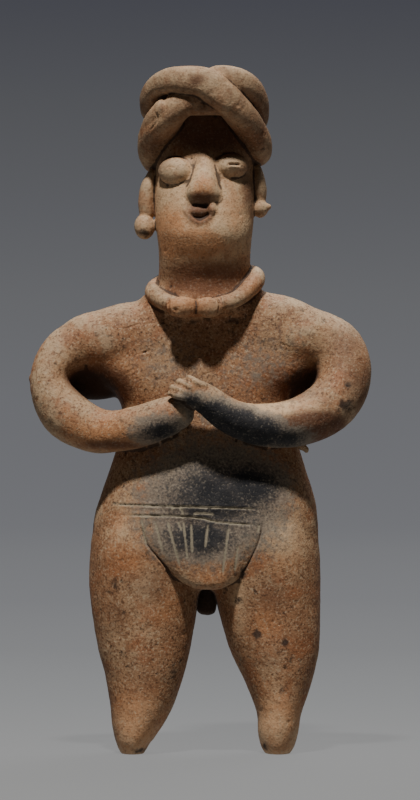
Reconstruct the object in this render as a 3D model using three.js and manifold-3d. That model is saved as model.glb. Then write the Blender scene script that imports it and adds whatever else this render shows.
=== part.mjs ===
// A standing figure of fired clay, built the way the potter built it: rolls and pellets of clay, each
// pressed onto the last, joined into one solid. Millimetres, +Z up, the figure faces -Y and +X is the
// viewer's right. The origin lies between the soles, on the surface that they stand on.

import * as THREE from 'three';
import { mergeVertices } from 'three/addons/utils/BufferGeometryUtils.js';
import Module from 'manifold-3d';

const wasm = await Module();
wasm.setup();

// Height of the whole figure, and the levels of its parts above the soles
const HEIGHT = 250;
const ANKLE_Z = 14;
const CALF_Z = 26;
const KNEE_Z = 38;
const THIGH_Z = 52;
const HAUNCH_Z = 66;
const HIP_Z = 80;
const BELT_Z = 90;
const WAIST_Z = 118;
const RIB_Z = 132;
const CHEST_Z = 146;
const YOKE_Z = 160;
const NAPE_Z = 171;
const CHIN_Z = 188;
const MOUTH_Z = 196.5;
const NOSE_Z = 203;
const EYE_Z = 213;
const BROW_Z = 232;

// The middle line of the body and of the head, to the viewer's right of the origin
const BODY_X = 2.4;
const HEAD_X = 1.9;

// How far the middle of the body lies behind the origin, and the soles and the head behind that
const BODY_Y = 5.4;
const SOLE_Y = -2.5;
const HEAD_Y = -3.0;

// Half the width of the head at the eyes. The face leans back, so its levels are given from the neck
// up: the level, how far its middle lies behind the body's, its width and its depth.
const HEAD_HALF_WIDTH = 18.6;
const HEAD_LEVELS = [
  [YOKE_Z + 2, -2, 42, 30],
  [NAPE_Z, -1, 35.2, 27.5],
  [NAPE_Z + 7, -2.4, 33.5, 29],
  [CHIN_Z - 3, -4, 33.8, 32.5],
  [CHIN_Z + 2, -4.6, 35, 34.5],
  [MOUTH_Z, -4, 36, 34],
  [NOSE_Z + 1, -2.8, 36.8, 33],
  [EYE_Z, -1.2, HEAD_HALF_WIDTH * 2, 31.5],
  [BROW_Z, 1.5, 37.5, 28.5],
  [HEIGHT - 8, 1, 30, 24],
];

// The mouth, to the middle of its ring of clay, and the thickness of that ring
const MOUTH_X = HEAD_X - 1.4;
const MOUTH_RADIUS = 4.4;
const LIP_RADIUS = 1.6;

// The path of the turban and of the necklace round the head and the neck, to the middle of the coil
const TURBAN_HALF_WIDTH = 20.6;
const TURBAN_HALF_DEPTH = 19.5;
const NECKLACE_HALF_WIDTH = 18.8;
const NECKLACE_HALF_DEPTH = 16.0;

// The lines drawn in the wet clay with a stick
const STROKE_WIDTH = 1.4;
const STROKE_DEPTH = 0.8;
const STROKE_STEP = 7;

// Sides and rows of the rolls
const BODY_SIDES = 20;
const LIMB_SIDES = 14;
const COIL_SIDES = 8;
const PELLET_SIDES = 12;
const CAP_ROWS = 2;

const UP = new THREE.Vector3(0, 0, 1);
const FRONT = new THREE.Vector3(0, -1, 0);
const BACK = new THREE.Vector3(0, 1, 0);

const clay = new THREE.MeshStandardMaterial({ color: 0xb08058, roughness: 0.85, metalness: 0 });

// A place along a roll of clay: its middle, its width seen from the front and its depth behind that
function place(x, y, z, wide, deep) {
  return { middle: new THREE.Vector3(x, y, z), size: new THREE.Vector3(wide / 2, deep / 2, 0) };
}

// A closed geometry as a solid that can be joined and cut
function solid(geometry) {
  const bare = geometry.clone();
  bare.deleteAttribute('normal');
  bare.deleteAttribute('uv');
  const welded = mergeVertices(bare, 1e-4);
  return new wasm.Manifold(new wasm.Mesh({
    numProp: 3,
    vertProperties: new Float32Array(welded.attributes.position.array),
    triVerts: new Uint32Array(welded.index.array),
  }));
}

// The geometry of a solid
function geometryOf(shape) {
  const mesh = shape.getMesh();
  const geometry = new THREE.BufferGeometry();
  geometry.setAttribute('position', new THREE.BufferAttribute(mesh.vertProperties, 3));
  geometry.setIndex(new THREE.BufferAttribute(mesh.triVerts, 1));
  geometry.computeVertexNormals();
  return geometry;
}

// A roll of clay with rounded ends: a capsule bent along the smooth line through its places.
// outward gives the direction that its front faces at a point. Power 2 is an oval section, and a
// higher power a squarer one. ends is how far the rounded ends reach, as a part of the half depth.
// The sections of an upright roll lie level, and those of any other roll square to its line.
function roll(places, {
  sides = LIMB_SIDES, rows = 2, outward = () => FRONT, power = 2, ends = 1, upright = false,
} = {}) {
  const line = new THREE.CatmullRomCurve3(places.map((p) => p.middle));
  const sizes = new THREE.CatmullRomCurve3(places.map((p) => p.size));
  const length = 2;
  const steps = Math.round(rows * (places.length - 1));
  const capsule = new THREE.CapsuleGeometry(1, length, CAP_ROWS, sides, steps);
  const position = capsule.attributes.position;
  const round = (value) => Math.sign(value) * Math.abs(value) ** (2 / power);
  for (let i = 0; i < position.count; i += 1) {
    const along = position.getY(i);
    const t = THREE.MathUtils.clamp(along / length + 0.5, 0, 1);
    const beyond = along - THREE.MathUtils.clamp(along, -length / 2, length / 2);
    const middle = line.getPoint(t);
    const size = sizes.getPoint(t);
    const ahead = upright ? UP : line.getTangent(t);
    const side = new THREE.Vector3().crossVectors(ahead, outward(middle)).normalize();
    const out = new THREE.Vector3().crossVectors(side, ahead).normalize();
    const reach = Math.hypot(position.getX(i), position.getZ(i));
    const across = reach > 1e-6 ? round(position.getX(i) / reach) * reach : 0;
    const through = reach > 1e-6 ? round(position.getZ(i) / reach) * reach : 0;
    const point = middle.clone()
      .addScaledVector(ahead, beyond * size.y * ends)
      .addScaledVector(side, across * size.x)
      .addScaledVector(out, through * size.y);
    position.setXYZ(i, point.x, point.y, point.z);
  }
  return solid(capsule);
}

// A closed ring of clay, round the head or the neck
function ring(places, { sides = COIL_SIDES, rows = 2, outward }) {
  const line = new THREE.CatmullRomCurve3(places.map((p) => p.middle), true);
  const sizes = new THREE.CatmullRomCurve3(places.map((p) => p.size), true);
  const torus = new THREE.TorusGeometry(2, 1, sides, rows * places.length);
  const position = torus.attributes.position;
  for (let i = 0; i < position.count; i += 1) {
    const turn = Math.atan2(position.getY(i), position.getX(i));
    const t = THREE.MathUtils.euclideanModulo(turn / (2 * Math.PI), 1);
    const middle = line.getPoint(t);
    const size = sizes.getPoint(t);
    const ahead = line.getTangent(t);
    const side = new THREE.Vector3().crossVectors(outward(middle), ahead).normalize();
    const out = new THREE.Vector3().crossVectors(ahead, side).normalize();
    const through = Math.hypot(position.getX(i), position.getY(i)) - 2;
    const point = middle.clone()
      .addScaledVector(out, through * size.y)
      .addScaledVector(side, position.getZ(i) * size.x);
    position.setXYZ(i, point.x, point.y, point.z);
  }
  return solid(torus);
}

// A pellet of clay, turned by an angle about the upright axis to sit square on what carries it
function pellet(x, y, z, wide, deep, high, turn = 0, sides = PELLET_SIDES) {
  const ball = new THREE.SphereGeometry(0.5, sides, Math.round(sides * 0.6));
  ball.rotateX(Math.PI / 2);
  ball.scale(wide, deep, high);
  ball.rotateZ(turn);
  ball.translate(x, y, z);
  return solid(ball);
}

// The direction away from the middle of the head, level with the floor
function awayFromHead(point) {
  return new THREE.Vector3(point.x - HEAD_X, point.y - HEAD_Y, 0).normalize();
}

// A place on an oval path round the head's upright axis. The angle runs from the front, 0, to the
// viewer's right, 90, and the back, 180.
function round(angle, z, wide, deep, halfWidth, halfDepth) {
  const turn = THREE.MathUtils.degToRad(angle);
  return place(HEAD_X + halfWidth * Math.sin(turn), HEAD_Y - halfDepth * Math.cos(turn), z, wide, deep);
}

// The front of the face at a distance from its middle line and at a level, and the turn of what sits
// there
function onFace(x, z) {
  const above = HEAD_LEVELS.findIndex(([level]) => level > z);
  const [low, high] = [HEAD_LEVELS[above - 1], HEAD_LEVELS[above]];
  const up = (z - low[0]) / (high[0] - low[0]);
  const middle = THREE.MathUtils.lerp(low[1], high[1], up);
  const halfWidth = THREE.MathUtils.lerp(low[2], high[2], up) / 2;
  const halfDepth = THREE.MathUtils.lerp(low[3], high[3], up) / 2;
  const share = (x - HEAD_X) / halfWidth;
  const depth = Math.sqrt(1 - share * share);
  return { y: middle - halfDepth * depth, turn: Math.atan2(share / halfWidth, depth / halfDepth) };
}

function torso() {
  return roll([
    place(BODY_X, 0.5, HAUNCH_Z - 2, 54, 27),
    place(BODY_X - 0.2, 0, HAUNCH_Z + 7, 72, 35),
    place(BODY_X, -0.7, HIP_Z + 4, 79.6, 38.6),
    place(BODY_X + 0.4, -0.9, BELT_Z + 2, 79.4, 39),
    place(BODY_X + 0.7, -0.5, 104, 71.5, 36),
    place(BODY_X + 0.6, 0.5, WAIST_Z - 3, 65, 31.5),
    place(BODY_X, 1, WAIST_Z + 7, 61.5, 30),
    place(BODY_X - 0.6, 1, RIB_Z, 67, 30),
    place(BODY_X - 1, 1, RIB_Z + 6.5, 83, 29),
    place(BODY_X - 1, 1, CHEST_Z - 2.5, 97, 27.5),
    place(BODY_X - 0.6, 1, CHEST_Z + 6, 90, 25.5),
    place(BODY_X, 0.5, YOKE_Z + 3, 56, 25),
    place(BODY_X, 0, NAPE_Z, 38, 25),
  ], { rows: 1.4, sides: BODY_SIDES, power: 2.7, ends: 0.3, upright: true });
}

// A leg, swelling at the thigh and drawn in to a blunt stump. Its level, how far its middle lies to
// the side and behind, its width and its depth are given from the sole up.
function leg(levels) {
  const places = levels.map(([z, x, y, wide, deep]) => place(x, y, z, wide, deep));
  return roll(places, { rows: 1.35, ends: 0.4, upright: true });
}

function leftLeg() {
  return leg([
    [-3, -24.4, SOLE_Y, 4, 13],
    [2.2, -24.3, SOLE_Y, 10.4, 18],
    [9, -22.9, SOLE_Y, 17.4, 20.5],
    [18, -21, SOLE_Y, 23.6, 24],
    [CALF_Z + 3, -20.1, -2.3, 29, 28],
    [KNEE_Z, -20.3, -1.8, 33.8, 32],
    [THIGH_Z, -20.2, -1, 38.8, 36.5],
    [HAUNCH_Z, -20, -0.5, 41.2, 39],
    [HIP_Z, -20, -0.7, 39.6, 39.4],
    [HIP_Z + 14, -18.5, -0.8, 33, 33],
  ]);
}

function rightLeg() {
  return leg([
    [-3, 28.6, SOLE_Y, 4, 13],
    [2.2, 28.6, SOLE_Y, 11.4, 18],
    [8, 28.8, SOLE_Y, 14.6, 20.5],
    [ANKLE_Z + 1, 29.2, SOLE_Y, 16.6, 22.5],
    [CALF_Z, 28.9, -2.3, 24.6, 26.5],
    [KNEE_Z, 27.4, -1.8, 32.8, 32],
    [THIGH_Z, 25.5, -1, 37.6, 36.5],
    [HAUNCH_Z, 24, -0.5, 40.8, 39],
    [HIP_Z, 22.8, -0.7, 41.2, 39.4],
    [HIP_Z + 14, 22, -0.8, 33, 33],
  ]);
}

function leftArm() {
  return roll([
    place(-32, 0, 151, 21, 19.5),
    place(-48, -2, 147.2, 18.4, 19),
    place(-55.8, -6, 136.5, 14.6, 18),
    place(-50, -10.5, 124.8, 18.6, 18),
    place(-39, -14, 118.4, 17, 16.5),
    place(-30.5, -16.5, 117.8, 15.2, 15.5),
    place(-22, -18.5, 119.3, 15.4, 15),
    place(-10, -20.5, 124, 13.5, 13),
  ], { rows: 1.7, ends: 0.6 });
}

function rightArm() {
  return roll([
    place(33, 0, 154.2, 22, 20),
    place(49, -2, 149, 20.8, 20.5),
    place(53.4, -6, 139.3, 20, 20),
    place(49, -11, 128.3, 19.6, 19),
    place(36.5, -15.5, 121.3, 18, 17.5),
    place(22.8, -19.5, 119.9, 15.6, 15.5),
    place(11.5, -23, 123, 12.8, 13),
    place(3, -25.5, 129, 11.2, 10.5),
    place(-3, -25.5, 132, 10.8, 9.5),
    place(-8.3, -23.5, 132.8, 9, 7.5),
  ], { rows: 1.7, ends: 0.6 });
}

// The roll laid across the top of the chest, from shoulder to shoulder
function yoke() {
  return roll([
    place(-45, -1.2, 148.6, 16, 16),
    place(-32, 0, 150.9, 25.6, 22),
    place(-14, 0.3, 150.8, 31.5, 24.5),
    place(BODY_X, 0.3, 151, 36, 26),
    place(19, 0.3, 152.6, 34, 24.5),
    place(33, 0, 154, 25.4, 22),
    place(47, -1.4, 150, 16, 17),
  ], { power: 2.3, rows: 1.4, ends: 0.5 });
}

// The clay that fills each armpit: the breast, which runs out flush onto the arm, and behind it a web
// between the arm and the ribs
function armpits() {
  return [
    pellet(-35, -1.6, 150.5, 36, 22, 23), pellet(37, -1.6, 151.5, 36, 22, 23),
    pellet(-36, 3, 143, 34, 15, 23.5), pellet(39, 3, 139.5, 34, 16, 32),
  ];
}

function neckAndHead() {
  const places = HEAD_LEVELS.map(([z, y, wide, deep]) => place(HEAD_X, y, z, wide, deep));
  return roll(places, { rows: 1.1, sides: 16, power: 2.1, ends: 0.35, upright: true });
}

// One strand of the turban, a ring tilted so that it is high on one side and low on the other.
// Its levels are given round the head: the angle, the drop from the top of the figure, the width and
// the thickness of the strand, and how far it stands out from the common path.
function strand(levels) {
  const places = levels.map(([angle, drop, wide, deep, out]) => (
    round(angle, HEIGHT - drop, wide, deep, TURBAN_HALF_WIDTH + out, TURBAN_HALF_DEPTH + out)
  ));
  return ring(places, { outward: awayFromHead, rows: 1.7 });
}

// The upper strand runs from low on the viewer's right, over the crossing, to high on the left
function upperStrand() {
  return strand([
    [2, 6.8, 11.8, 9, 1.5],
    [20, 12, 11.2, 9, 1.5],
    [41, 17.5, 10.6, 12, -0.9],
    [64, 22.5, 10.2, 12, -1.6],
    [92, 29.2, 11, 10, -0.9],
    [135, 30, 9, 7, -0.5],
    [180, 24, 9, 7, -0.5],
    [225, 17, 9, 7, -0.5],
    [266, 13, 10.6, 7, -0.2],
    [298, 7.8, 8.4, 7.5, -0.3],
    [322, 4.9, 9, 8, 0.3],
    [343, 4.9, 10.2, 8.5, 1],
  ]);
}

// The under strand runs from low on the viewer's left, beneath the crossing, to high on the right
function underStrand() {
  return strand([
    [-12, 10.5, 9.5, 6, -1.5],
    [10, 4.9, 10, 7, -1],
    [33, 5, 9.6, 7.5, 0],
    [58, 8.8, 9.6, 7.5, 0],
    [84, 15.5, 9.5, 7, -0.4],
    [125, 21, 9, 7, -0.5],
    [180, 29, 8.5, 6.5, -1],
    [228, 34, 9, 7, -0.5],
    [266, 30, 12, 10, -1.1],
    [292, 23.6, 11.2, 12, -1.4],
    [312, 18.6, 11.3, 12, -1.8],
    [329, 14, 11, 9, -1.4],
  ]);
}

// The under strand's free edge, folded over and ending in a rounded shoulder beside the crossing
function fold() {
  const places = [[-78, 24], [-60, 18], [-42, 13.6]].map(([angle, drop]) => (
    round(angle, HEIGHT - drop, 7, 7, TURBAN_HALF_WIDTH + 0.8, TURBAN_HALF_DEPTH + 0.8)
  ));
  return roll(places, { outward: awayFromHead, sides: COIL_SIDES, rows: 2 });
}

// The top of the head, which fills the ring of the turban
function crown() {
  return pellet(HEAD_X, HEAD_Y, HEIGHT - 9.5, 38.4, 38.4, 17.2);
}

// The plain band that shows in the gap under the crossing
function headband() {
  const places = [-48, -16, 16, 48].map((angle) => round(angle, BROW_Z + 3.6, 7, 8, 18, 17.4));
  return roll(places, { outward: awayFromHead, sides: 8, rows: 2 });
}

function eyes() {
  const left = onFace(-9, EYE_Z - 0.8);
  const right = onFace(12.1, EYE_Z + 1.1);
  return [
    pellet(-9, left.y, EYE_Z - 0.8, 12.2, 7, 10.4, left.turn),
    pellet(12.1, right.y, EYE_Z + 1.1, 11.4, 7, 8.8, right.turn),
  ];
}

function nose() {
  const bridge = NOSE_Z + 14.5;
  const ridge = NOSE_Z + 7;
  const tip = NOSE_Z + 0.5;
  return roll([
    place(HEAD_X + 0.2, onFace(HEAD_X, bridge).y + 1.2, bridge, 4, 3),
    place(HEAD_X, onFace(HEAD_X, ridge).y - 0.2, ridge, 7.5, 5),
    place(HEAD_X - 0.7, onFace(HEAD_X, tip).y - 1, tip, 12.4, 8),
  ], { ends: 0.5, sides: 10 });
}

// The mouth is a ring of clay, flatter above and drawn to a point below, with a hollow in it
function mouthRing() {
  const torus = new THREE.TorusGeometry(MOUTH_RADIUS, LIP_RADIUS, 6, 16);
  const position = torus.attributes.position;
  for (let i = 0; i < position.count; i += 1) {
    const across = position.getX(i);
    const up = position.getY(i);
    const aside = Math.abs(across) / (MOUTH_RADIUS + LIP_RADIUS);
    const pointed = up < 0 ? 1 - 0.35 * aside : 0.75;
    position.setXYZ(i, across, -position.getZ(i), up * pointed);
  }
  torus.translate(MOUTH_X, onFace(MOUTH_X, MOUTH_Z).y + 0.2, MOUTH_Z);
  return solid(torus);
}

function mouthHollow() {
  return pellet(MOUTH_X, onFace(MOUTH_X, MOUTH_Z).y - 1, MOUTH_Z - 0.2, 6.2, 6, 5);
}

function ears() {
  return [
    pellet(-18.6, HEAD_Y, 203.6, 7.4, 9, 14.4, 0, 10),
    pellet(21.6, HEAD_Y, 207, 6.6, 9, 13, 0, 10),
    pellet(-19.9, HEAD_Y - 1, 192.9, 8.2, 8.2, 9.4, 0, 10),
    pellet(22, HEAD_Y - 1, 199.7, 7.4, 7.6, 6.4, 0, 10),
  ];
}

function necklace() {
  const coil = (angle, z) => round(angle, z, 6.2, 6, NECKLACE_HALF_WIDTH, NECKLACE_HALF_DEPTH);
  const levels = [[0, 162.3], [35, 165.5], [65, 170.5], [90, 174], [135, 176], [180, 176], [225, 173.5],
    [270, 169], [300, 165.8], [328, 163.2]];
  const front = HEAD_Y - NECKLACE_HALF_DEPTH - 0.6;
  const beads = [-5.5, 2.8].map((x) => pellet(x, front, 162.4, 9.6, 7, 7.8, 0, 10));
  return [ring(levels.map(([angle, z]) => coil(angle, z)), { outward: awayFromHead, rows: 1.7 }), ...beads];
}

// The apron hangs from the belt as a rounded slab that stands proud of the thighs
function apron() {
  return roll([
    place(2, -13.5, HIP_Z + 18, 34, 8),
    place(2, -15.8, HIP_Z + 8, 41, 9),
    place(2, -17.4, HIP_Z, 40, 9.6),
    place(2, -18, HIP_Z - 9, 34.5, 9.8),
    place(2, -17.8, HIP_Z - 15, 25, 9),
    place(2, -17.4, HIP_Z - 18.2, 13, 6.5),
  ], { rows: 1.6, ends: 0.5 });
}

// The other end of the loincloth, which shows behind the legs
function flap() {
  return roll([
    place(3.3, 12, HAUNCH_Z, 8, 8),
    place(3.3, 10, HAUNCH_Z - 9, 7.5, 6),
    place(3.3, 9.5, HAUNCH_Z - 15, 6, 5),
  ], { ends: 0.8, sides: 10, rows: 2 });
}

// A line drawn in the front of the clay. It runs smoothly through its points, given as how far each
// lies to the viewer's right and how high, and it follows the surface that it is drawn on.
function stroke(points, surface) {
  const path = new THREE.CatmullRomCurve3(points.map(([x, z]) => new THREE.Vector3(x, 0, z)));
  const steps = Math.max(2, Math.round(path.getLength() / STROKE_STEP));
  const ray = new THREE.Raycaster();
  const places = path.getSpacedPoints(steps).map((point) => {
    ray.set(new THREE.Vector3(point.x, -100, point.z), BACK);
    const [hit] = ray.intersectObject(surface);
    return place(point.x, hit.point.y, point.z, STROKE_WIDTH, 2 * STROKE_DEPTH);
  });
  return roll(places, { sides: 4, rows: 1 });
}

// The belt's two lines and the strokes that hang from it as the apron's folds
const BELT_LINES = [
  [[-32, 91], [-14.4, 90.6], [11.1, 89.9], [21.4, 89.5]],
  [[-26.5, 87], [-10.8, 87], [0.2, 86.3], [4.6, 85.2], [11.1, 84.4], [20.7, 83.7]],
];
const APRON_FOLDS = [
  [[-16.3, 85.5], [-13, 73.5]],
  [[-11.9, 86.3], [-6.8, 68]],
  [[-6, 86.3], [-4.2, 70.5]],
  [[-3, 85.2], [-2.6, 72.4]],
  [[3.1, 84.6], [2, 74.9]],
  [[10.8, 84.1], [8.2, 65.1]],
  [[14.1, 76.8], [12.6, 66.2]],
];
const FINGER_GAPS = [
  [[-4.4, 137], [-0.9, 135]],
  [[-8.8, 135], [-4.9, 133.2]],
];
const EYE_SLITS = [
  [[-12.2, 212.8], [-8.6, 213.2]],
  [[10, 214.4], [14.8, 214.6]],
];
const FOLD_SEAM = [[-14.4, 233.2], [-18.1, 227]];

const pieces = [
  torso(), leftLeg(), rightLeg(), yoke(), ...armpits(), leftArm(), rightArm(), neckAndHead(), crown(),
  headband(), underStrand(), fold(), upperStrand(), ...eyes(), nose(), mouthRing(), ...ears(),
  ...necklace(), apron(), flap(),
];
let body = pieces.reduce((all, piece) => all.add(piece));

// What is cut away: the mouth's hollow, the lines, and the clay below the flat soles
const floor = new THREE.BoxGeometry(200, 200, 40);
floor.translate(0, 0, -20);
const surface = new THREE.Mesh(geometryOf(body), clay);
const lines = [...BELT_LINES, ...APRON_FOLDS, ...FINGER_GAPS, ...EYE_SLITS, FOLD_SEAM];
const cuts = [mouthHollow(), solid(floor), ...lines.map((points) => stroke(points, surface))];
body = cuts.reduce((left, cut) => left.subtract(cut), body);

const geometry = geometryOf(body);
geometry.translate(0, BODY_Y, 0);

const figure = new THREE.Group();
const mesh = new THREE.Mesh(geometry, clay);
mesh.name = 'figure';
figure.add(mesh);

export default figure;
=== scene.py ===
"""A standing figure of fired clay, made as the potter made it.

Rolls and pellets of clay are pulled out section by section, pressed onto each other and smoothed
together. Then the turban's strands, the necklace, the face and the apron are pressed on, and the
lines are drawn in the wet clay. Sizes are in millimetres until the last step. The figure faces -Y,
and +X is the viewer's right.
"""

import math

import bpy
import numpy as np
from mathutils import Matrix, Vector


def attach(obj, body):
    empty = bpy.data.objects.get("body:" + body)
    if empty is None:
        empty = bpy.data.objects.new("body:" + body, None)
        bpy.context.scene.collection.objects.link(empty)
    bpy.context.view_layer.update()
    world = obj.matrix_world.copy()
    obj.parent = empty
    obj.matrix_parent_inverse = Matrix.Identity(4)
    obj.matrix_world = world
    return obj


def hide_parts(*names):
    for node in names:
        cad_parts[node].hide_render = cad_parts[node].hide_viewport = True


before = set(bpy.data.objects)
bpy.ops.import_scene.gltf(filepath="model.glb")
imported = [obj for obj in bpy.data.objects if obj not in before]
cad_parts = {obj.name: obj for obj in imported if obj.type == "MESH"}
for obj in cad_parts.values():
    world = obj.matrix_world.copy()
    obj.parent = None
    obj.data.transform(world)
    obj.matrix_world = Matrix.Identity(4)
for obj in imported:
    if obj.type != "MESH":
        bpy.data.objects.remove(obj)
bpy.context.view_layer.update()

MM = 0.001

# Height of the figure, the middle line of its body and of its head, and how far back it is set
HEIGHT = 250.0
BODY_X = 2.4
HEAD_X = 1.9
BODY_Y = 5.4
SOLE_Y = -2.5
HEAD_Y = -3.0

# The face leans back. From the neck up: the level, how far its middle lies behind the body's, its
# width and its depth
HEAD_LEVELS = [
    (162, -2, 42, 30),
    (171, -1, 35.2, 27.5),
    (178, -2.4, 33.5, 29),
    (185, -4, 33.8, 32.5),
    (190, -4.6, 35, 34.5),
    (196.5, -4, 36, 34),
    (204, -2.8, 36.8, 33),
    (213, -1.2, 37.2, 31.5),
    (232, 1.5, 37.5, 28.5),
    (242, 1, 30, 24),
]

# Half the width and depth of the paths that the turban and the necklace follow round the head
TURBAN_HALF = (20.6, 19.5)
NECKLACE_HALF = (18.8, 16.0)

# Edge of the small cubes that the joined clay is remeshed on
BODY_GRAIN = 0.8
FIGURE_GRAIN = 0.45
MOST_TRIANGLES = 196000

FRONT = Vector((0, -1, 0))

# How many sections a roll has from one station to the next, and how many places a drawn line has
ROLL_STEPS = 5
LINE_STEPS = 16

# The rounded end of a roll: the angle from its tip at which each section lies, in degrees
END_ANGLES = (66, 42, 20)

# How much steeper than its reach a wet spot fades, so that its middle is smoothed in full
WET_FADE = 1.6


# Rolls and pellets of clay


def front(_middle):
    """The way out of a roll on the body, which is the same all along it."""
    return FRONT


def from_head(middle):
    """The way out of a roll that lies round the head."""
    return Vector((middle.x - HEAD_X, middle.y - HEAD_Y, 0)).normalized()


def smooth_line(stations, steps):
    """The stations with a smooth line of further ones between them."""
    rows = np.array(stations, float)
    padded = np.vstack([2 * rows[0] - rows[1], rows, 2 * rows[-1] - rows[-2]])
    line = []
    for i in range(1, len(padded) - 2):
        a, b, c, d = padded[i - 1 : i + 3]
        for t in np.arange(steps) / steps:
            bend = 2 * a - 5 * b + 4 * c - d
            twist = 3 * b - a - 3 * c + d
            line.append(0.5 * (2 * b + (c - a) * t + bend * t**2 + twist * t**3))
    line.append(rows[-1])
    return np.array(line)


def sections_of(stations, ends, upright):
    """Each section's middle, width, depth and direction, with the rounded ends of the roll."""
    line = smooth_line(stations, ROLL_STEPS)
    ahead = np.gradient(line[:, :3], axis=0)
    if upright:
        ahead[:] = (0, 0, math.copysign(1, line[-1, 2] - line[0, 2]))
    ahead /= np.linalg.norm(ahead, axis=1)[:, None]
    sections = [
        (Vector(row[:3]), row[3], row[4], Vector(way)) for row, way in zip(line, ahead)
    ]
    if not ends:
        return sections
    caps = []
    for (middle, wide, deep, way), back in ((sections[0], -1), (sections[-1], 1)):
        cap = []
        for angle in END_ANGLES:
            turn = math.radians(angle)
            reach = back * math.cos(turn) * deep / 2 * ends
            share = math.sin(turn)
            cap.append((middle + way * reach, wide * share, deep * share, way))
        caps.append(cap)
    return caps[0][::-1] + sections + caps[1]


def section_pose(ahead, out):
    """A section's own directions: across it, through it and along the roll."""
    side = ahead.cross(out).normalized()
    through = ahead.cross(side).normalized()
    return Matrix((side, through, ahead)).transposed()


def pull_roll(name, stations, sides=36, facing=front, ends=1.0, power=2.0, upright=False):
    """A roll of clay, pulled out of a disc section by section. Power 2 is an oval section, and a
    higher power a squarer one."""
    bpy.ops.object.select_all(action="DESELECT")
    bpy.ops.mesh.primitive_circle_add(vertices=sides, radius=0.5, fill_type="NGON")
    piece = bpy.context.object
    piece.name = name
    for vertex in piece.data.vertices:
        for axis in (0, 1):
            share = vertex.co[axis] * 2
            vertex.co[axis] = math.copysign(abs(share) ** (2 / power), share) / 2
    bpy.ops.object.mode_set(mode="EDIT")
    bpy.ops.mesh.select_all(action="SELECT")
    middle, wide, deep, pose = Vector(), 1.0, 1.0, Matrix.Identity(3)
    sections = sections_of(stations, ends, upright)
    for place, (to, new_wide, new_deep, ahead) in enumerate(sections):
        if place:
            bpy.ops.mesh.extrude_region_move(
                TRANSFORM_OT_translate={"value": to - middle}
            )
        else:
            bpy.ops.transform.translate(value=to)
        bpy.ops.transform.resize(
            value=(new_wide / wide, new_deep / deep, 1),
            orient_type="GLOBAL",
            orient_matrix=pose,
            orient_matrix_type="GLOBAL",
            center_override=to,
        )
        new_pose = section_pose(ahead, facing(to))
        turn = (new_pose @ pose.inverted()).to_euler("XYZ")
        for axis, angle in zip("XYZ", turn):
            if abs(angle) > 1e-6:
                bpy.ops.transform.rotate(
                    value=-angle, orient_axis=axis, center_override=to
                )
        middle, wide, deep, pose = to, new_wide, new_deep, new_pose
    bpy.ops.mesh.select_all(action="SELECT")
    bpy.ops.mesh.normals_make_consistent(inside=False)
    bpy.ops.object.mode_set(mode="OBJECT")
    return piece


def press_pellet(name, at, size, turn=0.0, tilt=0.0):
    """A pellet rolled round, pressed flatter and turned to sit square on what carries it."""
    bpy.ops.object.select_all(action="DESELECT")
    bpy.ops.mesh.primitive_uv_sphere_add(segments=36, ring_count=24, radius=0.5)
    piece = bpy.context.object
    piece.name = name
    bpy.ops.object.mode_set(mode="EDIT")
    bpy.ops.mesh.select_all(action="SELECT")
    bpy.ops.transform.resize(value=size, center_override=(0, 0, 0))
    for axis, angle in (("Y", tilt), ("Z", turn)):
        if angle:
            bpy.ops.transform.rotate(
                value=-angle, orient_axis=axis, center_override=(0, 0, 0)
            )
    bpy.ops.transform.translate(value=at)
    bpy.ops.object.mode_set(mode="OBJECT")
    return piece


def pick(*pieces):
    """Selects these pieces alone, with the first one active."""
    bpy.ops.object.select_all(action="DESELECT")
    for piece in pieces:
        piece.select_set(True)
    bpy.context.view_layer.objects.active = pieces[0]


def join(name, parts):
    """Parts pressed together into one object."""
    pick(*parts)
    bpy.ops.object.join()
    whole = bpy.context.object
    whole.name = name
    return whole


def finish_with(piece, kind, **settings):
    """A modifier with its settings, applied."""
    pick(piece)
    modifier = piece.modifiers.new(kind.lower(), kind)
    for name, value in settings.items():
        setattr(modifier, name, value)
    bpy.ops.object.modifier_apply(modifier=modifier.name)


def points_of(piece):
    """The mesh's points, one row each."""
    co = np.empty(len(piece.data.vertices) * 3)
    piece.data.vertices.foreach_get("co", co)
    return co.reshape(-1, 3)


def normals_of(piece):
    """The way out of the surface at each point."""
    normals = np.empty(len(piece.data.vertices) * 3)
    piece.data.vertex_normals.foreach_get("vector", normals)
    return normals.reshape(-1, 3)


def move_points(piece, co):
    """Moves the mesh's points to these rows."""
    piece.data.vertices.foreach_set("co", co.ravel())
    piece.data.update()


def nearness(co, middle, reach):
    """1 at a middle, falling to 0 at its reach each way."""
    away = np.linalg.norm((co - np.array(middle)) / np.array(reach), axis=1)
    return np.clip(1 - away, 0, 1)


def soften(piece, spots, rounds):
    """Wet fingers smooth the joins round each spot, which is a middle and a reach each way."""
    co = points_of(piece)
    weight = np.zeros(len(co))
    for middle, reach in spots:
        wet = np.clip(WET_FADE * nearness(co, middle, reach), 0, 1)
        weight = np.maximum(weight, wet)
    group = piece.vertex_groups.new(name="wet")
    for index in np.flatnonzero(weight > 0.01):
        group.add([int(index)], float(weight[index]), "REPLACE")
    finish_with(
        piece, "SMOOTH", factor=0.5, iterations=rounds, vertex_group=group.name
    )
    piece.vertex_groups.clear()


# The body: torso, legs, arms, neck and head


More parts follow.
